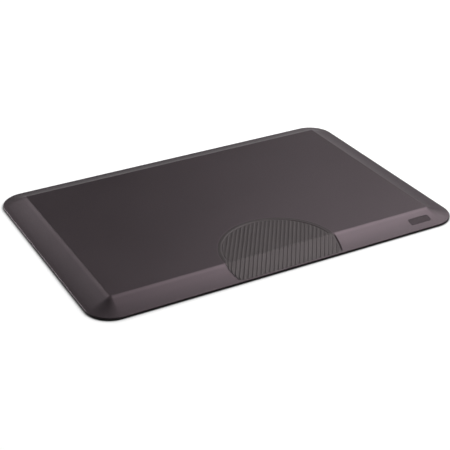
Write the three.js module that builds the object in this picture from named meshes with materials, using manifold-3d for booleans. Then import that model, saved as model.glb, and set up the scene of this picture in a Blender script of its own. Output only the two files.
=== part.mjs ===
// A free-standing anti-fatigue mat for an office: a moulded skin with a flat top and a slightly hollow
// ramp on every side, over a foam core, on a rubber base with soft pads let into it. A round foot grip
// with parallel ribs sits in a recess across the front ramp and the top.
//
// Millimetres. The origin is on the floor under the middle of the mat, +X runs along the long front
// edge, +Y from the front to the back, and +Z up.

import * as THREE from 'three';
import { mergeVertices } from 'three/addons/utils/BufferGeometryUtils.js';
import Module from 'manifold-3d';

// The whole mat
const MAT_LENGTH = 762;
const MAT_DEPTH = 508;
const MAT_HEIGHT = 20;
const CORNER_RADIUS = 50;
const GAP = 0.3;

// The ramp's profile from the mat's edge to its flat top, as distances inward and heights. It is
// slightly hollow, so that it starts gently at the floor.
const RAMP_PROFILE = [[0, 5], [14, 8.2], [33.5, 14.3], [47.5, 20]];
const RAMP_WIDTH = 47.5;
const KNEE_OVERLAP = 5;

// The layers, from the floor up
const PAD_THICKNESS = 1.5;
const BASE_BOTTOM = 0.6;
const BASE_THICKNESS = 1.8;
const BASE_INSET = 0.4;
const SCRIM_THICKNESS = 0.5;
const SKIN_THICKNESS = 2.2;
const SKIN_RIM_WIDTH = 8;

// The foot grip, a disc whose centre lies on the front crease
const GRIP_CENTRE_X = 2.5;
const GRIP_RADIUS = 114;
const GRIP_LAND = 2.5;
const RECESS_DEPTH = 2;
const GRIP_PLATE_THICKNESS = 0.7;
const RIB_HEIGHT = 0.8;
const RIB_WIDTH = 3.7;
const RIB_PITCH = 7.5;
const RIB_ANGLE = THREE.MathUtils.degToRad(57);
const RIB_MARGIN = 3;

// The blank badge, set flush into the front ramp
const BADGE_LENGTH = 46;
const BADGE_WIDTH = 15;
const BADGE_THICKNESS = 0.8;
const BADGE_CORNER = 3;
const BADGE_CENTRE_X = 300;

// The pads under the base
const PAD_RADIUS = 35;
const PAD_OFFSET_X = 300;
const PAD_OFFSET_Y = 175;

// Worked out from the above
const BASE_TOP = BASE_BOTTOM + BASE_THICKNESS;
const SKIN_BOTTOM = BASE_TOP + GAP;
const SCRIM_TOP = SKIN_BOTTOM + SCRIM_THICKNESS;
const CREASE_Y = RAMP_WIDTH - MAT_DEPTH / 2;
const GRIP_FRONT_Y = GRIP_LAND - MAT_DEPTH / 2;
const GRIP_BOTTOM_DROP = RECESS_DEPTH - GAP;
const GRIP_TOP_DROP = GRIP_BOTTOM_DROP - GRIP_PLATE_THICKNESS;
const RIB_TOP_DROP = GRIP_TOP_DROP - RIB_HEIGHT;

const ARC_SEGMENTS = 10;
const DISC_SEGMENTS = 72;
const PAD_SEGMENTS = 48;
const TALL = 60;

const wasm = await Module();
wasm.setup();

function toSolid(geometry) {
  const bare = geometry.index ? geometry.toNonIndexed() : geometry.clone();
  bare.deleteAttribute('normal');
  bare.deleteAttribute('uv');
  const merged = mergeVertices(bare, 1e-4);
  return new wasm.Manifold(new wasm.Mesh({
    numProp: 3,
    vertProperties: Float32Array.from(merged.attributes.position.array),
    triVerts: Uint32Array.from(merged.index.array),
  }));
}

function toGeometry(solid) {
  const mesh = solid.getMesh();
  const geometry = new THREE.BufferGeometry();
  geometry.setAttribute('position', new THREE.BufferAttribute(mesh.vertProperties, 3));
  geometry.setIndex(new THREE.BufferAttribute(mesh.triVerts, 1));
  geometry.computeVertexNormals();
  return geometry;
}

// A rectangle with round corners, centred on the origin.
function roundedRectangle(length, width, radius) {
  const x = length / 2 - radius;
  const y = width / 2 - radius;
  const shape = new THREE.Shape();
  shape.moveTo(-x, -y - radius);
  shape.absarc(x, -y, radius, -Math.PI / 2, 0);
  shape.absarc(x, y, radius, 0, Math.PI / 2);
  shape.absarc(-x, y, radius, Math.PI / 2, Math.PI);
  shape.absarc(-x, -y, radius, Math.PI, Math.PI * 1.5);
  return shape;
}

// A box from its lowest to its highest corner.
function block(low, high) {
  const geometry = new THREE.BoxGeometry(high[0] - low[0], high[1] - low[1], high[2] - low[2]);
  geometry.translate((low[0] + high[0]) / 2, (low[1] + high[1]) / 2, (low[2] + high[2]) / 2);
  return toSolid(geometry);
}

function spaceAbove(level) {
  return block([-MAT_LENGTH, -MAT_DEPTH, level], [MAT_LENGTH, MAT_DEPTH, level + 2 * TALL]);
}

// A flat slab with the mat's outline, inset all round.
function slab(inset, bottom, top) {
  const outline = roundedRectangle(
    MAT_LENGTH - 2 * inset, MAT_DEPTH - 2 * inset, CORNER_RADIUS - inset);
  const geometry = new THREE.ExtrudeGeometry(outline, {
    depth: top - bottom, bevelEnabled: false, curveSegments: ARC_SEGMENTS,
  });
  geometry.translate(0, 0, bottom);
  return toSolid(geometry);
}

// A tall block with a flat top and one even slope all round, between two distances from the mat's edge.
function slopedBlock(outerInset, innerInset, topHeight, slope) {
  const topOutline = roundedRectangle(
    MAT_LENGTH - 2 * innerInset, MAT_DEPTH - 2 * innerInset, CORNER_RADIUS - innerInset);
  const slopeHeight = (innerInset - outerInset) * slope;
  const geometry = new THREE.ExtrudeGeometry(topOutline, {
    depth: TALL,
    bevelEnabled: true,
    bevelSize: innerInset - outerInset,
    bevelThickness: slopeHeight,
    bevelSegments: 1,
    curveSegments: ARC_SEGMENTS,
  });
  geometry.translate(0, 0, topHeight - slopeHeight - TALL);
  return toSolid(geometry);
}

// The mat's outer form, a flat top with a ramp all round, cut off at the given bottom. Its side stands
// in from the mat's edge by the inset, and its top surfaces lie below the mat's own by the drop.
function rampedBlock(inset, bottom, drop) {
  const parts = [];
  for (let i = 1; i < RAMP_PROFILE.length; i += 1) {
    const [outer, low] = RAMP_PROFILE[i - 1];
    const [inner, high] = RAMP_PROFILE[i];
    const slope = (high - low) / (inner - outer);
    const start = Math.max(inset, outer - KNEE_OVERLAP);
    parts.push(slopedBlock(start, inner, high - drop, slope));
  }
  return wasm.Manifold.union(parts).intersect(spaceAbove(bottom));
}

// A tall column with the foot grip's outline: a disc cut straight a little behind the front edge.
// The outline grows outward by the margin.
function gripColumn(margin) {
  const geometry = new THREE.CylinderGeometry(
    GRIP_RADIUS + margin, GRIP_RADIUS + margin, 2 * TALL, DISC_SEGMENTS);
  geometry.rotateX(Math.PI / 2);
  geometry.translate(GRIP_CENTRE_X, CREASE_Y, 0);
  const behindLand = block(
    [-MAT_LENGTH, GRIP_FRONT_Y - margin, -2 * TALL], [MAT_LENGTH, MAT_DEPTH, 2 * TALL]);
  return toSolid(geometry).intersect(behindLand);
}

// The part of the foot grip's column that lies above a copy of the mat's surface, lowered by the drop.
function gripSpaceAbove(margin, drop) {
  return gripColumn(margin).subtract(rampedBlock(0, -TALL, drop));
}

// A plate laid on the middle of the front ramp, from one depth to another under the surface.
function badgeSolid(margin, deep, shallow) {
  const outline = roundedRectangle(
    BADGE_LENGTH + 2 * margin, BADGE_WIDTH + 2 * margin, BADGE_CORNER + margin);
  const geometry = new THREE.ExtrudeGeometry(outline, {
    depth: deep - shallow, bevelEnabled: false, curveSegments: ARC_SEGMENTS,
  });
  const [[outer, low], [inner, high]] = RAMP_PROFILE.slice(1, 3);
  geometry.translate(0, 0, -deep);
  geometry.rotateX(Math.atan2(high - low, inner - outer));
  geometry.translate(BADGE_CENTRE_X, (outer + inner - MAT_DEPTH) / 2, (low + high) / 2);
  return toSolid(geometry);
}

function padSolid(x, y, margin, bottom, top) {
  const geometry = new THREE.CylinderGeometry(
    PAD_RADIUS + margin, PAD_RADIUS + margin, top - bottom, PAD_SEGMENTS);
  geometry.rotateX(Math.PI / 2);
  geometry.translate(x, y, (bottom + top) / 2);
  return toSolid(geometry);
}

const PADS = [
  ['centre', 0, 0],
  ['front_left', -PAD_OFFSET_X, -PAD_OFFSET_Y],
  ['front_right', PAD_OFFSET_X, -PAD_OFFSET_Y],
  ['rear_left', -PAD_OFFSET_X, PAD_OFFSET_Y],
  ['rear_right', PAD_OFFSET_X, PAD_OFFSET_Y],
];

// Moulded skin, hollow and open underneath, with a pan that keeps its thickness under the foot grip.
function topSkin() {
  const pan = gripSpaceAbove(SKIN_THICKNESS, RECESS_DEPTH + SKIN_THICKNESS)
    .intersect(spaceAbove(SCRIM_TOP + GAP));
  const cavity = rampedBlock(SKIN_RIM_WIDTH, -TALL, SKIN_THICKNESS).subtract(pan);
  return rampedBlock(0, SKIN_BOTTOM, 0)
    .subtract(cavity)
    .subtract(gripSpaceAbove(0, RECESS_DEPTH))
    .subtract(badgeSolid(GAP, BADGE_THICKNESS + GAP, -TALL));
}

// Cushioning foam, with a dish in its top for the skin's pan.
function foamCore() {
  const clear = SKIN_THICKNESS + GAP;
  const dish = gripSpaceAbove(clear, RECESS_DEPTH + clear);
  return rampedBlock(SKIN_RIM_WIDTH + GAP, SCRIM_TOP + GAP, clear).subtract(dish);
}

// Thin plate that follows the recess floor, with raised parallel ribs that stop short of its rim.
function footGripInsert() {
  const outline = gripColumn(-GAP);
  const plate = outline
    .intersect(rampedBlock(0, -TALL, GRIP_TOP_DROP))
    .subtract(rampedBlock(0, -TALL, GRIP_BOTTOM_DROP));
  const bars = [];
  const side = Math.floor(GRIP_RADIUS / RIB_PITCH);
  for (let i = -side; i <= side; i += 1) {
    const bar = new THREE.BoxGeometry(3 * GRIP_RADIUS, RIB_WIDTH, 2 * TALL);
    bar.translate(0, i * RIB_PITCH, 0);
    bar.rotateZ(RIB_ANGLE);
    bar.translate(GRIP_CENTRE_X, CREASE_Y, 0);
    bars.push(toSolid(bar));
  }
  const ribs = wasm.Manifold.union(bars)
    .intersect(gripColumn(-RIB_MARGIN))
    .intersect(rampedBlock(0, -TALL, RIB_TOP_DROP))
    .subtract(rampedBlock(0, -TALL, GRIP_TOP_DROP + GRIP_PLATE_THICKNESS / 2));
  return plate.add(ribs);
}

function badgePlate() {
  return badgeSolid(0, BADGE_THICKNESS, 0);
}

function reinforcementScrim() {
  return slab(SKIN_RIM_WIDTH + GAP, SKIN_BOTTOM, SCRIM_TOP);
}

// Rubber sheet with a round pocket in its underside for each pad.
function baseSheet() {
  let sheet = slab(BASE_INSET, BASE_BOTTOM, BASE_TOP);
  for (const [, x, y] of PADS) {
    sheet = sheet.subtract(padSolid(x, y, GAP, -TALL, PAD_THICKNESS + GAP));
  }
  return sheet;
}

function antiSlipPad(x, y) {
  return padSolid(x, y, 0, 0, PAD_THICKNESS);
}

const skinMaterial = new THREE.MeshStandardMaterial({ color: 0x3f3b3f, roughness: 0.6, metalness: 0 });
const gripMaterial = new THREE.MeshStandardMaterial({ color: 0x464445, roughness: 0.65, metalness: 0 });
const foamMaterial = new THREE.MeshStandardMaterial({ color: 0x2c2b2d, roughness: 0.95, metalness: 0 });
const scrimMaterial = new THREE.MeshStandardMaterial({ color: 0xb9b6ad, roughness: 0.9, metalness: 0 });
const baseMaterial = new THREE.MeshStandardMaterial({ color: 0x1d1c1e, roughness: 0.8, metalness: 0 });
const padMaterial = new THREE.MeshStandardMaterial({ color: 0x29282b, roughness: 0.9, metalness: 0 });
const badgeMaterial = new THREE.MeshStandardMaterial({ color: 0x4d494d, roughness: 0.35, metalness: 0 });

const mat = new THREE.Group();

function addPiece(name, solid, material) {
  const mesh = new THREE.Mesh(toGeometry(solid), material);
  mesh.name = name;
  mat.add(mesh);
}

addPiece('top_skin', topSkin(), skinMaterial);
addPiece('foam_core', foamCore(), foamMaterial);
addPiece('foot_grip_insert', footGripInsert(), gripMaterial);
addPiece('badge_plate', badgePlate(), badgeMaterial);
addPiece('reinforcement_scrim', reinforcementScrim(), scrimMaterial);
addPiece('base_sheet', baseSheet(), baseMaterial);
for (const [place, x, y] of PADS) {
  addPiece(`anti_slip_pad_${place}`, antiSlipPad(x, y), padMaterial);
}

export default mat;
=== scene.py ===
import math

import bpy
import numpy as np
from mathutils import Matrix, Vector
from mathutils.geometry import delaunay_2d_cdt


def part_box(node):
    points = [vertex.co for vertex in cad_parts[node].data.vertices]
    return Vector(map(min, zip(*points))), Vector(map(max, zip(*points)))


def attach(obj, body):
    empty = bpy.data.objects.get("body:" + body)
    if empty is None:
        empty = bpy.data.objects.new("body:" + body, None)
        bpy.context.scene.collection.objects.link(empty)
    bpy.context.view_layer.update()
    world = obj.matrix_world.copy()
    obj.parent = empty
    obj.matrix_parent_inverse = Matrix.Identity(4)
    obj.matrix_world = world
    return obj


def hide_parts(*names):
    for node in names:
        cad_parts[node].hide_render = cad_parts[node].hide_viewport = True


# An anti-fatigue mat: every CAD node is replaced by a finer mesh of the same size in the same place.
# Shapes are worked out in millimetres, and a mesh is scaled to metres as it is made.

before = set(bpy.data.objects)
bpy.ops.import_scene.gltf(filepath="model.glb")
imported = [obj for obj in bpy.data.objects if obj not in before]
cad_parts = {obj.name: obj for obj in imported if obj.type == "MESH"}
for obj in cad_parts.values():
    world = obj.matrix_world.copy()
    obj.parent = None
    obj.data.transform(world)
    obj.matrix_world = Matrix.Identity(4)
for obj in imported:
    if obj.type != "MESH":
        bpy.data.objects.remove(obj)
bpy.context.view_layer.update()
MM = 0.001


def node_box(node):
    """Lowest and highest corner of a CAD node, in millimetres."""
    return [np.array(corner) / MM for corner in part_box(node)]


# ---------------------------------------------------------------- sizes, in millimetres

SKIN_LOW, SKIN_HIGH = node_box("top_skin")
BASE_LOW, BASE_HIGH = node_box("base_sheet")
SCRIM_LOW, SCRIM_HIGH = node_box("reinforcement_scrim")
FOAM_LOW = node_box("foam_core")[0]
GRIP_LOW, GRIP_HIGH = node_box("foot_grip_insert")
BADGE_LOW, BADGE_HIGH = node_box("badge_plate")
PAD_NODES = [name for name in sorted(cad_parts) if name.startswith("anti_slip_pad")]

# The gap between neighbouring pieces.
GAP = 0.3

# The mat: an upright edge, then a ramp with a hollow of RAMP_DIP up to a rounded crease and the flat top.
HALF_LENGTH = SKIN_HIGH[0]
HALF_DEPTH = SKIN_HIGH[1]
TOP = SKIN_HIGH[2]
EDGE_TOP = 5.0
EDGE_ROUND = 1.7
CORNER_RADIUS = 50.0
RAMP_WIDTH = 47.5
RAMP_DIP = 1.9
SLOPE = (TOP - EDGE_TOP) / RAMP_WIDTH
CREASE_ROUND = 0.9
CREASE_Y = RAMP_WIDTH - HALF_DEPTH

# The skin is open below, inside a rim. Its roof is never closer than ROOF_CLEAR to its lower face.
SKIN_THICKNESS = 2.2
SKIN_RIM = 8.0
ROOF_CLEAR = 0.8

# Roundings of the lower and hidden edges, and half the widths of the steps in hidden faces.
SKIN_FOOT_ROUND = 0.5
FOAM_TOP_ROUND = 0.5
FOAM_FOOT_ROUND = 0.4
BASE_ROUND = 0.4
SKIN_STEP = 0.4
FOAM_STEP = 0.5
POCKET_STEP = 0.1

# The foot grip: a thin plate with ribs, which lies in a recess of the skin.
GRIP_RADIUS = (GRIP_HIGH[0] - GRIP_LOW[0]) / 2 + GAP
GRIP_FRONT = GRIP_LOW[1] - GAP
GRIP_CORNER = 4.0
GRIP_PLATE = 0.7
GRIP_ROUND = 0.15
RECESS_DEPTH = 2.0
GRIP_BOTTOM_DROP = RECESS_DEPTH - GAP
GRIP_TOP_DROP = GRIP_BOTTOM_DROP - GRIP_PLATE
RIB_PITCH = 7.5
RIB_ANGLE = math.radians(57)
RIB_END = 0.2

# The underside has a grid of shallow grooves: distance from a groove's middle line against its depth.
GRID_PITCH = 20.0
GRID_GROOVE = ((0.6, 0.35), (1.1, 0))
GRID_MARGIN = 8.0
GRID_FADE = 1.5
# The grooves fade out between these distances outside the pocket of a pad.
POCKET_LAND = (5, 3.5)

# A pad has a rounded rim and rings of grooves. A groove is distance from its start against depth.
PAD_RIM = ((0, 0.35), (0.35, 0))
PAD_GROOVE = ((0, 0), (0.3, 0.4), (1.1, 0.4), (1.4, 0))
PAD_RINGS = 6
PAD_PITCHES = 7.5

# The badge has a border line: distance inward from its outline against depth.
BADGE_CORNER = 3.0
BADGE_THICKNESS = 0.8
BADGE_ROUND = 0.25
BADGE_SEAM = 0.02
BADGE_LINE = ((1.2, 0), (1.4, 0.15), (1.9, 0.15), (2.1, 0))
BADGE_POCKET = BADGE_THICKNESS + GAP

# Distance inward across an edge against depth under the surface, from the outside in.
RECESS_WALL = ((-0.5, 0), (-0.25, 0.05), (-0.1, 0.2), (-0.02, 0.6), (0.02, 1.2), (0.06, 1.8),
               (0.1, RECESS_DEPTH))
# On the ramp the skin is bevelled down to the grip on both sides: the bevel's section, and its share
# against the distance back through the mat.
RECESS_BEVEL = ((-3.3, 0), (-2.9, 0.14), (-1.5, 0.86), (-0.3, 1.5), (0, 1.62), (0.06, RECESS_DEPTH))
BEVEL_SHARE = ((GRIP_FRONT, 0), (GRIP_FRONT + 8, 1), (CREASE_Y - 8, 1), (CREASE_Y + 4, 0))
BADGE_WALL = ((-0.6, 0), (-0.35, 0.06), (-0.15, 0.3), (-0.02, 0.9), (0.12, BADGE_POCKET))
# The open seam between the grip and its recess.
SEAM = 0.14

# Distance across a rib from its middle line against its height over the plate. Distance inward along a
# rib's end against the share of that height.
RIB_HEIGHT = 0.8
RIB_SECTION = ((-2.2, 0), (-1.9, 0.22), (-1.5, 0.52), (-1.0, 0.72), (-0.4, 0.8), (0.4, 0.8),
               (1.0, 0.72), (1.5, 0.52), (1.9, 0.22), (2.2, 0))
RIB_FADE = ((RIB_END, 0), (RIB_END + 0.4, 0.4), (RIB_END + 0.9, 0.75), (RIB_END + 1.6, 0.95),
            (RIB_END + 2.4, 1))
# On the flat top the grip has a plain border, nearly level with the skin, that slopes down to its
# ribbed field: how high it stands over the field, how wide it is on the flat top and on the ramp, and
# how wide its slope is.
BORDER_RISE = 0.93
BORDER_TOP = 7.8
BORDER_RAMP = 0.8
BORDER_SLOPE = 2.6
# Half the width of the blend between ramp and flat top, across the crease.
TOP_BLEND = 8

# Painted light, as tones from 0 to 1: a painted highlight along the crease, painted light on the upright
# lip, a painted highlight on the skin's bevel round the grip and a painted highlight on the slope of the
# grip's border. Each band is the distance inward of its middle, its width and its tone.
CREASE_HIGHLIGHT = (RAMP_WIDTH - 3.2, 3.4, 0.9)
LIP_LIGHT = (0, 1.6, 0.2)
RECESS_HIGHLIGHT = (-1.4, 1.3, 0.4)
BORDER_HIGHLIGHT = (-BORDER_SLOPE, 0.9, 0.35)
# The creases at the back and right have only this share of the painted highlight, and the share changes
# over this distance.
FAR_HIGHLIGHT = 0.25
FAR_BLEND = 40
# The grip's own tone between its ribs; the tone on its ribs, which adds a painted highlight on their
# tops; and the painted light that its part on the flat top has more than that.
FIELD_TONE = 0.46
RIB_HIGHLIGHT_TONE = 0.66
TOP_LIGHT_TONE = 0.2


# ---------------------------------------------------------------- plan outlines and heights

def arc(centre, radius, start, end, steps):
    """Points along an arc, with the outward direction at each."""
    angles = np.linspace(start, end, steps + 1)
    ways = np.stack([np.cos(angles), np.sin(angles)], axis=1)
    return np.array(centre) + radius * ways, ways


class Outline:
    """A closed convex plan curve, which can be offset inward."""

    def __init__(self, arcs):
        self.points = np.concatenate([points for points, ways in arcs])
        self.ways = np.concatenate([ways for points, ways in arcs])

    def ring(self, inward):
        return self.points - self.ways * inward


def rounded_rectangle(half_x, half_y, radius, steps, centre=(0, 0)):
    arcs = []
    for turn, (sx, sy) in enumerate(((1, 1), (-1, 1), (-1, -1), (1, -1))):
        middle = (centre[0] + sx * (half_x - radius), centre[1] + sy * (half_y - radius))
        start = turn * math.pi / 2
        arcs.append(arc(middle, radius, start, start + math.pi / 2, steps))
    return Outline(arcs)


def circle(centre, radius, steps):
    points, ways = arc(centre, radius, 0, 2 * math.pi, steps)
    return Outline([(points[:-1], ways[:-1])])


def rectangle_inset(xy, half_x, half_y, radius, centre=(0, 0)):
    """How far plan points lie inside a rounded rectangle."""
    q = np.abs(xy - np.array(centre)) - (half_x - radius, half_y - radius)
    outside = np.linalg.norm(np.maximum(q, 0), axis=1)
    return radius - outside - np.minimum(q.max(axis=1), 0)


def mat_inset(xy):
    return rectangle_inset(xy, HALF_LENGTH, HALF_DEPTH, CORNER_RADIUS)


# The foot grip's outline is a disc cut straight at the front, with small round corners there.
GRIP_CENTRE = np.array([(GRIP_LOW[0] + GRIP_HIGH[0]) / 2, CREASE_Y])
FILLET_Y = GRIP_FRONT + GRIP_CORNER
FILLET_X = math.sqrt((GRIP_RADIUS - GRIP_CORNER) ** 2 - (FILLET_Y - CREASE_Y) ** 2)
FILLET_TURN = math.atan2(FILLET_Y - CREASE_Y, FILLET_X)


def grip_outline():
    disc = arc(GRIP_CENTRE, GRIP_RADIUS, FILLET_TURN, math.pi - FILLET_TURN, 200)
    left_fillet = (GRIP_CENTRE[0] - FILLET_X, FILLET_Y)
    right_fillet = (GRIP_CENTRE[0] + FILLET_X, FILLET_Y)
    left = arc(left_fillet, GRIP_CORNER, math.pi - FILLET_TURN, 1.5 * math.pi, 10)
    right = arc(right_fillet, GRIP_CORNER, -0.5 * math.pi, FILLET_TURN, 10)
    return Outline([disc, left, right])


def grip_inset(xy):
    """How far plan points lie inside the foot grip's outline."""
    x, y = np.abs(xy[:, 0] - GRIP_CENTRE[0]), xy[:, 1]
    disc = GRIP_RADIUS - np.hypot(x, y - CREASE_Y)
    front = y - GRIP_FRONT
    fillet = GRIP_CORNER - np.hypot(x - FILLET_X, y - FILLET_Y)
    turn = FILLET_X * (y - CREASE_Y) - (FILLET_Y - CREASE_Y) * x
    return np.where((x > FILLET_X) & (turn < 0), fillet, np.minimum(disc, front))


BADGE_CENTRE = ((BADGE_LOW + BADGE_HIGH) / 2)[:2]
BADGE_HALF = ((BADGE_HIGH - BADGE_LOW) / 2)[:2]


def badge_inset(xy):
    return rectangle_inset(xy, BADGE_HALF[0], BADGE_HALF[1], BADGE_CORNER, BADGE_CENTRE)


def profile(distance, points):
    """Reads a profile of (distance, value) points."""
    return np.interp(distance, [p[0] for p in points], [p[1] for p in points])


# A band of painted light across a distance.
def painted_light_band(distance, middle, width, tone):
    return tone * np.exp(-((distance - middle) / width) ** 2)


def smooth_min(a, b, width):
    """The smaller of two heights, with the corner between them rounded."""
    h = np.clip(0.5 + 0.5 * (b - a) / width, 0, 1)
    return b + (a - b) * h - width * h * (1 - h)


def surface(xy):
    """Height of the mat's top surface, without its recesses."""
    inset = mat_inset(xy)
    along = np.clip(inset / RAMP_WIDTH, 0, 1)
    ramp = EDGE_TOP + SLOPE * inset - 4 * RAMP_DIP * along * (1 - along)
    return smooth_min(ramp, TOP, CREASE_ROUND)


def edge_rounding(inset, radius):
    """How far a rounded rim falls below the flat, by the distance inward from its edge."""
    short = np.clip(radius - inset, 0, radius)
    return radius - np.sqrt(radius ** 2 - short ** 2)


# ---------------------------------------------------------------- mesh making

# The shortest distance between points and the smallest face that a mesh keeps, in mm and mm2, and the
# angle in degrees from which its edges are sharp.
MERGE = 1e-4
SLIVER = 1e-6
SHARP_FROM = 38


def slab(name, loops, strips, top, bottom, tone=None, hole=None):
    """A closed solid over a convex plan outline, the first of the loops. The other loops and the open
    strips are lines that its mesh keeps. top and bottom give its heights at plan points, and tone a
    number from 0 to 1 for its top surface, which the material reads. It is left open where hole says."""
    points, edges = [], []
    for curve, closed in [(loop, True) for loop in loops] + [(strip, False) for strip in strips]:
        first, count = len(points), len(curve)
        points += [Vector(p) for p in curve]
        edges += [(first + i, first + i + 1) for i in range(count - 1)]
        edges += [(first + count - 1, first)] if closed else []
    plan, _, triangles, *_ = delaunay_2d_cdt(points, edges, [], 0, MERGE)
    plan = np.array([tuple(p) for p in plan])
    triangles = np.array([t for t in triangles if len(t) == 3])
    a, b, c = (plan[triangles[:, i]] for i in range(3))
    area = (b - a)[:, 0] * (c - a)[:, 1] - (b - a)[:, 1] * (c - a)[:, 0]
    triangles = triangles[np.abs(area) > SLIVER]
    if area.sum() < 0:
        triangles = triangles[:, ::-1]
    if hole is not None:
        triangles = triangles[~hole(plan[triangles].mean(axis=1))]
        kept, triangles = np.unique(triangles, return_inverse=True)
        plan, triangles = plan[kept], triangles.reshape(-1, 3)
    sides = np.concatenate([triangles[:, [0, 1]], triangles[:, [1, 2]], triangles[:, [2, 0]]])
    once = {tuple(s) for s in sides} - {tuple(s[::-1]) for s in sides}
    count = len(plan)
    low = np.column_stack([plan, bottom(plan)])
    high = np.column_stack([plan, top(plan)])
    walls = [(i + count, i, j, j + count) for i, j in once]
    faces = (triangles + count).tolist() + triangles[:, ::-1].tolist() + walls
    tones = np.zeros(2 * count)
    if tone is not None:
        tones[count:] = tone(plan)
    return solid(name, np.concatenate([low, high]), faces, tones)


def solid(name, points, faces, tones):
    """A Blender object in metres from points in millimetres, with smooth faces and sharp edges."""
    mesh = bpy.data.meshes.new(name)
    mesh.from_pydata((np.asarray(points) * MM).tolist(), [], faces)
    mesh.validate()
    mesh.attributes.new("tone", "FLOAT", "POINT").data.foreach_set("value", tones)
    mesh.shade_smooth()
    mesh.set_sharp_from_angle(angle=math.radians(SHARP_FROM))
    mesh.update()
    piece = bpy.data.objects.new(name, mesh)
    bpy.context.scene.collection.objects.link(piece)
    weighted = piece.modifiers.new("weighted_normals", "WEIGHTED_NORMAL")
    weighted.keep_sharp = True
    weighted.weight = 80
    return piece


def finish_piece(piece, node, material):
    """Gives a piece its material, hangs it under the root body and hides the CAD node that it replaces.
    """
    piece.data.materials.append(material)
    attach(piece, "root")
    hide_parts(node)


# ---------------------------------------------------------------- materials

class Nodes:
    """Short calls for building one material's node tree."""

    def __init__(self, name):
        self.material = bpy.data.materials.new(name)
        self.material.use_nodes = True
        self.tree = self.material.node_tree
        self.shader = self.tree.nodes["Principled BSDF"]
        self.place = self.add("ShaderNodeTexCoord").outputs["Object"]

    def add(self, kind, **values):
        node = self.tree.nodes.new(kind)
        for key, value in values.items():
            setattr(node, key, value)
        return node

    def link(self, source, target):
        self.tree.links.new(source, target)

    def noise(self, scale, detail=2.0, roughness=0.5):
        node = self.add("ShaderNodeTexNoise")
        node.inputs["Scale"].default_value = scale
        node.inputs["Detail"].default_value = detail
        node.inputs["Roughness"].default_value = roughness
        self.link(self.place, node.inputs["Vector"])
        return node.outputs["Fac"]

    def cells(self, scale, feature="F1"):
        node = self.add("ShaderNodeTexVoronoi", feature=feature)
        node.inputs["Scale"].default_value = scale
        self.link(self.place, node.inputs["Vector"])
        return node.outputs["Distance"]

    def attribute(self, name):
        return self.add("ShaderNodeAttribute", attribute_name=name).outputs["Fac"]

    def ranged(self, value, low, high, from_low=0.0, from_high=1.0):
        node = self.add("ShaderNodeMapRange")
        self.link(value, node.inputs["Value"])
        node.inputs["From Min"].default_value = from_low
        node.inputs["From Max"].default_value = from_high
        node.inputs["To Min"].default_value = low
        node.inputs["To Max"].default_value = high
        return node.outputs["Result"]

    def sum(self, a, b):
        node = self.add("ShaderNodeMath", operation="ADD")
        self.link(a, node.inputs[0])
        self.link(b, node.inputs[1])
        return node.outputs[0]

    def blend(self, factor, dark, light):
        """A colour between two, each a fixed colour or a socket."""
        node = self.add("ShaderNodeMix", data_type="RGBA")
        self.link(factor, node.inputs["Factor"])
        for colour, socket in ((dark, node.inputs[6]), (light, node.inputs[7])):
            if isinstance(colour, tuple):
                socket.default_value = (*colour, 1)
            else:
                self.link(colour, socket)
        return node.outputs[2]

    def bump(self, height, distance, strength, below=None):
        node = self.add("ShaderNodeBump")
        node.inputs["Distance"].default_value = distance * MM
        node.inputs["Strength"].default_value = strength
        self.link(height, node.inputs["Height"])
        if below is not None:
            self.link(below, node.inputs["Normal"])
        return node.outputs["Normal"]

    def done(self, colour, roughness, normal):
        self.link(colour, self.shader.inputs["Base Color"])
        self.link(roughness, self.shader.inputs["Roughness"])
        self.link(normal, self.shader.inputs["Normal"])
        return self.material


# Scales of the textures in moulded rubber, from its clouds of colour to its finest grain.
CLOUD_SCALE, SHEEN_SCALE, SPECK_SCALE, PEBBLE_SCALE, GRAIN_SCALE = 7, 300, 900, 1500, 3600
# Depths of the pebbles and of the finest grain, in millimetres.
PEBBLE_DEPTH, GRAIN_DEPTH = 0.05, 0.02
# How far the roughness strays to either side, once with the clouds and once with finer noise.
ROUGHNESS_SPREAD = 0.02
# How much of the pale colour the specks get, and the areas with the highest tone, which on the skin and
# grip are painted highlights.
SPECK_MIX, FULL_TONE_MIX = 0.12, 0.5


def moulded_rubber(name, dark, light, highlight_and_speck_colour, roughness, grain=1.0, tint=(1, 1, 1), specular=0.5):
    """Moulded rubber or polyurethane: faint clouds of colour between dark and light, fine specks, a
    pebbled grain under a millimetre across, and a paler colour where the mesh's tone asks for it: on the
    skin and the grip that is mostly painted highlight and painted light."""
    nodes = Nodes(name)
    clouds = nodes.noise(CLOUD_SCALE, detail=5, roughness=0.6)
    specks = nodes.noise(SPECK_SCALE, detail=2)
    base = nodes.blend(nodes.ranged(clouds, 0, 1, 0.3, 0.7), dark, light)
    speckled = nodes.blend(nodes.ranged(specks, 0, SPECK_MIX, 0.5, 0.75), base, highlight_and_speck_colour)
    # The tone mixes in the pale colour: painted highlights and painted light, and on the grip its own
    # paler tone too.
    colour = nodes.blend(nodes.ranged(nodes.attribute("tone"), 0, FULL_TONE_MIX), speckled, highlight_and_speck_colour)
    spread = ROUGHNESS_SPREAD
    sheen = nodes.sum(
        nodes.ranged(clouds, roughness - spread, roughness + spread, 0.3, 0.7),
        nodes.ranged(nodes.noise(SHEEN_SCALE, detail=2), -spread, spread, 0.35, 0.65))
    pebbles = nodes.bump(nodes.cells(PEBBLE_SCALE, "SMOOTH_F1"), PEBBLE_DEPTH * grain, 0.5)
    normal = nodes.bump(nodes.noise(GRAIN_SCALE, detail=1), GRAIN_DEPTH * grain, 0.4, below=pebbles)
    nodes.shader.inputs["Specular Tint"].default_value = (*tint, 1)
    nodes.shader.inputs["Specular IOR Level"].default_value = specular
    return nodes.done(colour, sheen, normal)


# The skin's pale colour is that of its specks and of its painted highlights and painted light at the
# creases, lip and bevel.
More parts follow.
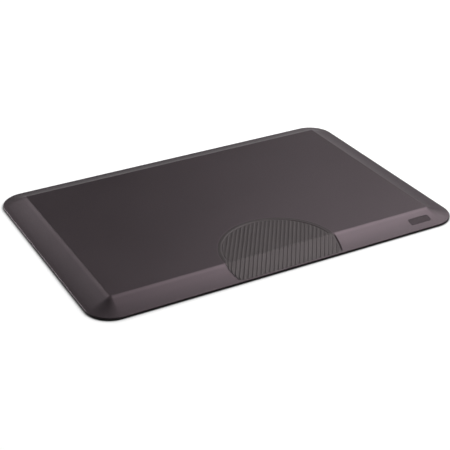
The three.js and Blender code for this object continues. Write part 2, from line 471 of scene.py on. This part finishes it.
SKIN = moulded_rubber("skin_polyurethane", (0.0194, 0.0167, 0.0180), (0.0228, 0.0198, 0.0212),
                      highlight_and_speck_colour=(0.095, 0.078, 0.085), roughness=0.45, tint=(1, 0.82, 0.91))
# The grip's pale colour gives its own lighter tone and specks, its painted highlights on ribs and border,
# and painted light on the flat top.
GRIP = moulded_rubber("grip_rubber", (0.0205, 0.0188, 0.0190), (0.0240, 0.0220, 0.0222),
                      highlight_and_speck_colour=(0.068, 0.0635, 0.063), roughness=0.52, grain=0.7,
                      tint=(1, 0.93, 0.93), specular=0.4)
BASE = moulded_rubber("base_rubber", (0.010, 0.0094, 0.0098), (0.014, 0.013, 0.0136),
                      highlight_and_speck_colour=(0.03, 0.028, 0.029), roughness=0.62, grain=1.3)
PAD = moulded_rubber("pad_rubber", (0.022, 0.021, 0.022), (0.030, 0.029, 0.030),
                     highlight_and_speck_colour=(0.05, 0.048, 0.05), roughness=0.7, grain=0.8)
BADGE = moulded_rubber("badge_plastic", (0.010, 0.008, 0.009), (0.012, 0.0095, 0.0105),
                       highlight_and_speck_colour=(0.03, 0.025, 0.028), roughness=0.62, grain=0.3,
                       tint=(1, 0.85, 0.92), specular=0.36)


def closed_cell_foam():
    """Dark closed-cell foam, with cells between 1 and 2 mm across."""
    nodes = Nodes("core_foam")
    cells = nodes.cells(700)
    colour = nodes.blend(nodes.ranged(cells, 0, 1, 0.1, 0.6), (0.02, 0.02, 0.022), (0.05, 0.05, 0.055))
    roughness = nodes.ranged(nodes.noise(60), 0.85, 0.95, 0.35, 0.65)
    nodes.shader.inputs["Sheen Weight"].default_value = 0.1
    return nodes.done(colour, roughness, nodes.bump(cells, 0.4, 0.8))


def woven_scrim():
    """A plain weave: two crossed sets of pale threads."""
    nodes = Nodes("scrim_fabric")
    waves = []
    for direction in ("X", "Y"):
        wave = nodes.add("ShaderNodeTexWave", wave_type="BANDS", bands_direction=direction)
        wave.inputs["Scale"].default_value = 160
        wave.inputs["Distortion"].default_value = 0.6
        nodes.link(nodes.place, wave.inputs["Vector"])
        waves.append(wave.outputs["Fac"])
    weave = nodes.sum(*waves)
    colour = nodes.blend(nodes.ranged(weave, 0, 1, 0.2, 1.6), (0.24, 0.22, 0.19), (0.55, 0.53, 0.48))
    roughness = nodes.ranged(nodes.noise(90), 0.8, 0.95, 0.35, 0.65)
    return nodes.done(colour, roughness, nodes.bump(weave, 0.15, 0.8))


FOAM = closed_cell_foam()
SCRIM = woven_scrim()


# ---------------------------------------------------------------- the pieces

MAT = rounded_rectangle(HALF_LENGTH, HALF_DEPTH, CORNER_RADIUS, 24)
GRIP_EDGE = grip_outline()
BADGE_EDGE = rounded_rectangle(BADGE_HALF[0], BADGE_HALF[1], BADGE_CORNER, 6, BADGE_CENTRE)

# Distances inward from the mat's outline of the lines that its meshes keep.
CREASE_HALF = CREASE_ROUND / SLOPE
CREASE_INSETS = [RAMP_WIDTH + CREASE_HALF * step for step in (-2.2, -1.6, -1, -0.6, -0.25, 0, 0.25)]
RAMP_INSETS = [RAMP_WIDTH * step for step in (0.1, 0.22, 0.34, 0.46, 0.58, 0.7, 0.82)]
EDGE_INSETS = [EDGE_ROUND * step for step in (0, 0.05, 0.18, 0.4, 0.7, 1, 1.8)]


def make_skin():
    """The moulded skin, with the grip's recess, the badge's pocket and a hollow for the foam."""
    rim_low, rim_high = SKIN_RIM - SKIN_STEP, SKIN_RIM + SKIN_STEP
    lowest_roof = SKIN_LOW[2] + ROOF_CLEAR

    def top(xy):
        fall = edge_rounding(mat_inset(xy), EDGE_ROUND)
        bevel = profile(xy[:, 1], BEVEL_SHARE) * profile(grip_inset(xy), RECESS_BEVEL)
        recess = np.maximum(profile(grip_inset(xy), RECESS_WALL), bevel)
        pocket = profile(badge_inset(xy), BADGE_WALL)
        return surface(xy) - fall - recess - pocket

    def bottom(xy):
        inset = mat_inset(xy)
        pan = np.interp(grip_inset(xy) + SKIN_THICKNESS, (-SKIN_STEP, SKIN_STEP), (0, RECESS_DEPTH))
        roof = np.maximum(surface(xy) - SKIN_THICKNESS - pan, lowest_roof)
        rim = SKIN_LOW[2] + edge_rounding(inset, SKIN_FOOT_ROUND)
        return np.interp(inset, (rim_low, rim_high), (0, 1)) * (roof - rim) + rim

    # The skin's tone is painted light: a painted highlight along the crease, full at the front and left
    # and weaker at the back and right, painted light along the lip, and a painted highlight on the grip's
    # bevel.
    def tone(xy):
        near = np.minimum(xy[:, 0] + HALF_LENGTH, xy[:, 1] + HALF_DEPTH)
        far = np.minimum(HALF_LENGTH - xy[:, 0], HALF_DEPTH - xy[:, 1])
        share = np.clip(0.5 + (far - near) / FAR_BLEND, FAR_HIGHLIGHT, 1)
        inset = mat_inset(xy)
        crease = painted_light_band(inset, *CREASE_HIGHLIGHT) * share
        recess = painted_light_band(grip_inset(xy), *RECESS_HIGHLIGHT)
        return np.clip(crease + painted_light_band(inset, *LIP_LIGHT) + recess, 0, 1)

    insets = EDGE_INSETS + RAMP_INSETS + CREASE_INSETS + [rim_low, rim_high]
    loops = [MAT.ring(inset) for inset in insets]
    loops += [GRIP_EDGE.ring(inward) for inward, _ in RECESS_WALL]
    loops += [BADGE_EDGE.ring(inward) for inward, _ in BADGE_WALL]
    strips = [GRIP_EDGE.ring(inward - SKIN_THICKNESS) for inward in (-SKIN_STEP, SKIN_STEP)]
    strips = [line[mat_inset(line) > rim_high + 0.1] for line in strips]
    bevels = [GRIP_EDGE.ring(inward) for inward, _ in RECESS_BEVEL[:4]]
    strips += [line[mat_inset(line) > 2] for line in bevels]
    return slab("top_skin_moulded", loops, strips, top, bottom, tone)


def make_foam():
    """The cushioning core, which fills the skin and dips under the grip."""
    clear = SKIN_THICKNESS + GAP
    rim = SKIN_RIM + GAP

    def top(xy):
        dish = np.interp(grip_inset(xy) + clear, (-FOAM_STEP, FOAM_STEP), (0, RECESS_DEPTH))
        return surface(xy) - clear - dish - edge_rounding(mat_inset(xy) - rim, FOAM_TOP_ROUND)

    def bottom(xy):
        return FOAM_LOW[2] + edge_rounding(mat_inset(xy) - rim, FOAM_FOOT_ROUND)

    # In front of this line the skin's pan leaves no height for foam.
    insets = np.arange(rim, RAMP_WIDTH, 0.05)
    heights = surface(np.column_stack([np.zeros(len(insets)), insets - HALF_DEPTH]))
    thin = insets[heights > FOAM_LOW[2] + clear + RECESS_DEPTH + 0.3][0] - HALF_DEPTH
    cut = [(GRIP_CENTRE[0] - 2 * GRIP_RADIUS, thin), (GRIP_CENTRE[0] + 2 * GRIP_RADIUS, thin)]

    def hole(xy):
        in_pan = (grip_inset(xy) + clear > -FOAM_STEP) & (xy[:, 1] < thin)
        return in_pan | (mat_inset(xy) < rim)

    insets = [rim + step for step in (0, 0.05, 0.15, 0.3, 0.5, 6, 14, 22, 30)] + CREASE_INSETS
    loops = [MAT.ring(inset) for inset in insets]
    loops += [GRIP_EDGE.ring(inward - clear) for inward in (-FOAM_STEP, FOAM_STEP)]
    return slab("foam_core_block", loops, [cut], top, bottom, hole=hole)


def on_top(xy):
    """0 on the ramp and 1 on the flat top, with a short blend across the crease."""
    return np.interp(xy[:, 1] - CREASE_Y, (-TOP_BLEND, TOP_BLEND), (0, 1))


def field_inset(xy):
    """How far plan points lie inside the grip's ribbed field."""
    return grip_inset(xy) - BORDER_RAMP - (BORDER_TOP - BORDER_RAMP) * on_top(xy)


def rib_lines():
    """Plan lines along each rib, one for every point of its section, ending where the ribs stop."""
    along = np.array([math.cos(RIB_ANGLE), math.sin(RIB_ANGLE)])
    across = np.array([-along[1], along[0]])
    steps = np.arange(-1.2 * GRIP_RADIUS, 1.2 * GRIP_RADIUS, 0.1)
    lines = []
    reach = int(GRIP_RADIUS / RIB_PITCH)
    for rib in range(-reach, reach + 1):
        for offset, _ in RIB_SECTION:
            line = GRIP_CENTRE + across * (rib * RIB_PITCH + offset) + np.outer(steps, along)
            inside = line[field_inset(line) > RIB_END]
            if len(inside) > 2:
                lines.append([inside[0], inside[-1]])
    return lines, across


def make_grip():
    """The foot grip: a plate that bends over the crease, with ribs and, on the flat top, a border."""
    lines, across = rib_lines()

    def border_share(xy):
        """1 on the border, 0 on the ribbed field, and in between on the slope."""
        share = np.clip(-field_inset(xy) / BORDER_SLOPE, 0, 1)
        return share * share * (3 - 2 * share) * on_top(xy)

    def rib_height(xy):
        offset = (xy - GRIP_CENTRE) @ across
        offset = (offset + RIB_PITCH / 2) % RIB_PITCH - RIB_PITCH / 2
        return profile(offset, RIB_SECTION) * profile(field_inset(xy), RIB_FADE)

    def top(xy):
        rounding = edge_rounding(grip_inset(xy) - SEAM, GRIP_ROUND)
        raised = np.maximum(rib_height(xy), BORDER_RISE * border_share(xy))
        return surface(xy) - GRIP_TOP_DROP - rounding + raised

    def bottom(xy):
        return surface(xy) - GRIP_BOTTOM_DROP

    # The grip's tone: its own paler colour on the field, with a painted highlight on the rib tops,
    # painted light on its part on the flat top and a painted highlight along the border's slope (lip).
    def tone(xy):
        lip = painted_light_band(field_inset(xy), *BORDER_HIGHLIGHT) * on_top(xy)
        raised = rib_height(xy) / RIB_HEIGHT
        ribbed = FIELD_TONE + (RIB_HIGHLIGHT_TONE - FIELD_TONE) * raised + TOP_LIGHT_TONE * on_top(xy)
        return lip + (1 - border_share(xy)) * ribbed

    rings = [SEAM, SEAM + 0.04, SEAM + GRIP_ROUND, *np.arange(0.7, 10.5, 0.65)]
    loops = [GRIP_EDGE.ring(inward) for inward in rings]
    crease = []
    steps = np.linspace(-GRIP_RADIUS, GRIP_RADIUS, 4000)
    for inset in RAMP_INSETS + CREASE_INSETS:
        line = np.column_stack([steps, np.full(len(steps), inset - HALF_DEPTH)])
        inside = line[grip_inset(line) > SEAM + 0.02]
        if len(inside) > 2:
            crease.append([inside[0], inside[-1]])
    return slab("foot_grip_ribs", loops, lines + crease, top, bottom, tone)


def make_badge():
    """A blank plate with a sunken border line, flush with the ramp."""
    def top(xy):
        inset = badge_inset(xy)
        return surface(xy) - edge_rounding(inset - BADGE_SEAM, BADGE_ROUND) - profile(inset, BADGE_LINE)

    def bottom(xy):
        return surface(xy) - BADGE_THICKNESS

    insets = [BADGE_SEAM, 0.08, 0.15, BADGE_SEAM + BADGE_ROUND] + [inward for inward, _ in BADGE_LINE]
    return slab("badge_blank", [BADGE_EDGE.ring(inward) for inward in insets], [], top, bottom)


def make_scrim():
    """A flat woven layer between the foam and the base."""
    outline = MAT.ring(HALF_LENGTH - SCRIM_HIGH[0])
    return slab("scrim_layer", [outline], [], lambda xy: np.full(len(xy), SCRIM_HIGH[2]),
                lambda xy: np.full(len(xy), SCRIM_LOW[2]))


PAD_BOXES = {node: node_box(node) for node in PAD_NODES}


def pad_place(node):
    """Plan centre and radius of a pad."""
    low, high = PAD_BOXES[node]
    return ((low + high) / 2)[:2], (high[0] - low[0]) / 2


def make_base():
    """The rubber sheet underneath, with a grid of grooves and a pocket for each pad."""
    inset = HALF_LENGTH - BASE_HIGH[0]
    pocket_roof = PAD_BOXES[PAD_NODES[0]][1][2] + GAP
    land_out, land_in = POCKET_LAND

    def groove(across):
        offset = (across + GRID_PITCH / 2) % GRID_PITCH - GRID_PITCH / 2
        return profile(np.abs(offset), GRID_GROOVE)

    def bottom(xy):
        height = BASE_LOW[2] + edge_rounding(mat_inset(xy) - inset, BASE_ROUND)
        grooves = np.maximum(groove(xy[:, 0]), groove(xy[:, 1]))
        grooves *= np.interp(mat_inset(xy) - inset, (GRID_MARGIN, GRID_MARGIN + GRID_FADE), (0, 1))
        for node in PAD_NODES:
            centre, radius = pad_place(node)
            inside = radius + GAP - np.linalg.norm(xy - centre, axis=1)
            height += np.interp(inside, (-POCKET_STEP, POCKET_STEP), (0, pocket_roof - BASE_LOW[2]))
            grooves *= np.interp(inside, (-land_out, -land_in), (1, 0))
        return height + grooves

    def top(xy):
        return BASE_HIGH[2] - edge_rounding(mat_inset(xy) - inset, BASE_ROUND)

    steps = (0, 0.03, 0.12, 0.25, BASE_ROUND, GRID_MARGIN, GRID_MARGIN + GRID_FADE)
    loops = [MAT.ring(inset + step) for step in steps]
    for node in PAD_NODES:
        centre, radius = pad_place(node)
        pocket = circle(centre, radius + GAP, 72)
        loops += [pocket.ring(inward) for inward in (-land_out, -land_in, -POCKET_STEP, POCKET_STEP)]
    grid = []
    for axis, half in enumerate((HALF_LENGTH, HALF_DEPTH)):
        reach = int((half - inset - GRID_MARGIN) / GRID_PITCH)
        steps = np.arange(-HALF_LENGTH, HALF_LENGTH, 0.5)
        for line in range(-reach, reach + 1):
            for offset in sorted({sign * across for across, _ in GRID_GROOVE for sign in (-1, 1)}):
                track = np.zeros((len(steps), 2))
                track[:, axis] = line * GRID_PITCH + offset
                track[:, 1 - axis] = steps
                inside = track[mat_inset(track) - inset > GRID_MARGIN + 0.1]
                if len(inside) > 2:
                    grid.append([inside[0], inside[-1]])
    return slab("base_sheet_moulded", loops, grid, top, bottom)


def make_pad(node):
    """A round pad with rings of grooves underneath."""
    low, high = PAD_BOXES[node]
    centre, radius = pad_place(node)
    grooves = list(PAD_RIM)
    for ring in range(1, PAD_RINGS + 1):
        start = ring * radius / PAD_PITCHES
        grooves += [(start + inward, depth) for inward, depth in PAD_GROOVE]

    def bottom(xy):
        return low[2] + profile(radius - np.linalg.norm(xy - centre, axis=1), grooves)

    def top(xy):
        return np.full(len(xy), high[2])

    outline = circle(centre, radius, 96)
    loops = [outline.ring(inward) for inward, _ in grooves]
    return slab(node + "_ringed", loops, [], top, bottom)


skin = make_skin()
finish_piece(skin, "top_skin", SKIN)
foam = make_foam()
finish_piece(foam, "foam_core", FOAM)
grip = make_grip()
finish_piece(grip, "foot_grip_insert", GRIP)
badge = make_badge()
finish_piece(badge, "badge_plate", BADGE)
scrim = make_scrim()
finish_piece(scrim, "reinforcement_scrim", SCRIM)
base = make_base()
finish_piece(base, "base_sheet", BASE)
for pad_node in PAD_NODES:
    finish_piece(make_pad(pad_node), pad_node, PAD)


# ---------------------------------------------------------------- stage, lights and camera

# From here on lengths are in metres and angles in degrees.
FLOOR_HALF = 12.0
FLOOR_GREY = 0.5
# The floor also glows, so that it looks white. The glow fades where something within FLOOR_SHADE
# covers the floor, between two shares of open sky, and only FLOOR_GLOW_SHARE of it lights the mat.
FLOOR_GLOW = 0.7
FLOOR_GLOW_SHARE = 0.15
FLOOR_SHADE = 0.025
FLOOR_OPEN = (0.48, 1)
LIGHT_TINT = (1.035, 0.97, 0.995)

# How bright the backdrop is as it lights the mat, and as it is seen behind it.
WORLD_LIGHT = 0.02
WORLD_SEEN = 0.72

# The lights face the middle of the mat from one distance: azimuth, elevation, size and radiance.
LIGHT_DISTANCE = 2.4
BOX = (0.8, 0.8)
STRIP = (1.8, 0.24)
LIGHTS = {
    "left_low": (-40, 8, BOX, 10.0),
    "right_high": (100, 48, BOX, 9.9),
    "right_top": (80, 64, BOX, 8.2),
    "top": (115, 64, BOX, 5.0),
    "right": (68, 32, BOX, 4.2),
    "back_right_high": (40, 48, BOX, 3.5),
    "back_left": (-22, 32, BOX, 3.15),
    "back_strip": (17, 3, STRIP, 0.85),
    "back_right_low": (42, 8, BOX, 0.55),
}

# The camera stands at the front left of the mat.
CAMERA_AZIMUTH = 208.68
CAMERA_ELEVATION = 29.1
CAMERA_DISTANCE = 2.1576
CAMERA_TARGET = Vector((-0.02756, -0.05194, 0))
CAMERA_LENS = 89.82
CAMERA_SENSOR = 36


def make_floor():
    """A pale floor, neutral under the tinted lights."""
    side = FLOOR_HALF
    mesh = bpy.data.meshes.new("floor")
    corners = [(-side, -side, 0), (side, -side, 0), (side, side, 0), (-side, side, 0)]
    mesh.from_pydata(corners, [], [(0, 1, 2, 3)])
    nodes = Nodes("studio_floor")
    nodes.shader.inputs["Base Color"].default_value = (*(FLOOR_GREY / tint for tint in LIGHT_TINT), 1)
    nodes.shader.inputs["Roughness"].default_value = 0.9
    nodes.shader.inputs["Emission Color"].default_value = (1, 1, 1, 1)
    open_sky = nodes.add("ShaderNodeAmbientOcclusion")
    open_sky.inputs["Distance"].default_value = FLOOR_SHADE
    glow = nodes.add("ShaderNodeMath", operation="MULTIPLY")
    nodes.link(nodes.ranged(open_sky.outputs["AO"], 0, FLOOR_GLOW, *FLOOR_OPEN), glow.inputs[0])
    seen = nodes.add("ShaderNodeLightPath").outputs["Is Camera Ray"]
    nodes.link(nodes.ranged(seen, FLOOR_GLOW_SHARE, 1), glow.inputs[1])
    nodes.link(glow.outputs[0], nodes.shader.inputs["Emission Strength"])
    mesh.materials.append(nodes.material)
    floor = bpy.data.objects.new("floor", mesh)
    bpy.context.scene.collection.objects.link(floor)


def aim(thing, azimuth, elevation, distance, target):
    """Puts a light or camera where it faces its target. Azimuth turns from +Y towards +X."""
    a, e = math.radians(azimuth), math.radians(elevation)
    way = Vector((math.sin(a) * math.cos(e), math.cos(a) * math.cos(e), math.sin(e)))
    thing.location = target + way * distance
    thing.rotation_mode = "QUATERNION"
    thing.rotation_quaternion = way.to_track_quat("Z", "Y")
    bpy.context.scene.collection.objects.link(thing)


def softbox(name, azimuth, elevation, size, radiance):
    """An area light, as bright as its radiance, with white as 1, that is not seen itself."""
    light = bpy.data.lights.new(name, "AREA")
    light.shape = "RECTANGLE"
    light.size, light.size_y = size
    light.energy = radiance * math.pi * light.size * light.size_y
    light.color = LIGHT_TINT
    lamp = bpy.data.objects.new(name, light)
    lamp.visible_camera = False
    aim(lamp, azimuth, elevation, LIGHT_DISTANCE, Vector())


def make_world():
    """A plain white backdrop."""
    world = bpy.data.worlds.new("studio")
    world.use_nodes = True
    tree = world.node_tree
    background = tree.nodes["Background"]
    background.inputs["Color"].default_value = (1, 1, 1, 1)
    ray = tree.nodes.new("ShaderNodeLightPath")
    choice = tree.nodes.new("ShaderNodeMapRange")
    choice.inputs["To Min"].default_value = WORLD_LIGHT
    choice.inputs["To Max"].default_value = WORLD_SEEN
    tree.links.new(ray.outputs["Is Camera Ray"], choice.inputs["Value"])
    tree.links.new(choice.outputs["Result"], background.inputs["Strength"])
    bpy.context.scene.world = world


def make_camera():
    """The camera, in the three-quarter view that shows three of the ramps."""
    camera = bpy.data.objects.new("camera", bpy.data.cameras.new("camera"))
    camera.data.lens = CAMERA_LENS
    camera.data.sensor_width = CAMERA_SENSOR
    aim(camera, CAMERA_AZIMUTH, CAMERA_ELEVATION, CAMERA_DISTANCE, CAMERA_TARGET)
    bpy.context.scene.camera = camera


make_floor()
make_world()
for light_name, light_values in LIGHTS.items():
    softbox(light_name, *light_values)
make_camera()
bpy.context.scene.view_settings.view_transform = "Standard"
